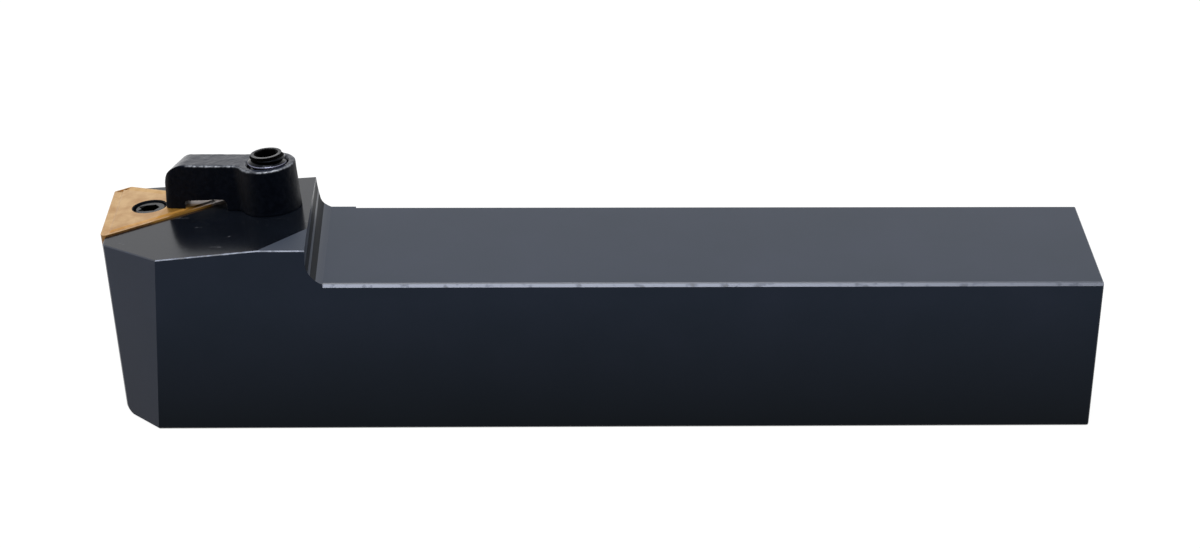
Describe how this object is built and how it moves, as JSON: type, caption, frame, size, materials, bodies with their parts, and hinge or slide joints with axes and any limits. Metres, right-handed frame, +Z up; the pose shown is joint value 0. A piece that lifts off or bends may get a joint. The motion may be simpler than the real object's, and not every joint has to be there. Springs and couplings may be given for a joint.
{
  "type": "turning tool holder",
  "caption": "Left-hand external turning tool holder with a square shank, a tilted pocket, a triangular coated insert, a lock pin and a forged top clamp.",
  "frame": {"origin": "on the base of the shank, in the middle of the shank's width and of the overall length from the cutting edge to the rear face", "axes": "+X along the shank towards its rear face, +Y towards the side that the cutting corner stands out of, +Z up from the base"},
  "size_m": [0.15, 0.0311, 0.0379],
  "materials": {
    "black_oxide_steel": "black oxide, semi-gloss, ground faces",
    "forged_clamp_steel": "black oxide over a forged skin, satin",
    "black_oxide_screws": "black oxide, satin",
    "coated_carbide": "pale gold coating, satin",
    "shim_carbide": "ground carbide, satin"
  },
  "bodies": {
    "holder": {"holder_body": "black_oxide_steel", "shim": "shim_carbide", "insert": "coated_carbide"},
    "lock_pin": {"lock_pin": "black_oxide_screws"},
    "clamp": {"clamp": "forged_clamp_steel"},
    "clamp_screw": {"clamp_screw": "black_oxide_screws"}
  },
  "joints": [
    {"name": "clamp_lift", "type": "slide", "parent": "holder", "child": "clamp", "axis": [-0.104, 0.104, 0.9891], "range_m": [0, 0.003]},
    {"name": "clamp_screw_turn", "type": "hinge", "parent": "clamp", "child": "clamp_screw", "pos_m": [-0.04922, 0.00495, 0.02896], "axis": [-0.104, 0.104, 0.9891], "range_deg": [0, 540]},
    {"name": "lock_pin_turn", "type": "hinge", "parent": "holder", "child": "lock_pin", "pos_m": [-0.06863, 0.00924, 0.02675], "axis": [-0.104, 0.104, 0.9891], "range_deg": [0, 180]}
  ],
  "couplings": [
    {"joint": "clamp_screw_turn", "follows": "clamp_lift", "rad_per_m": 3141.5}
  ]
}
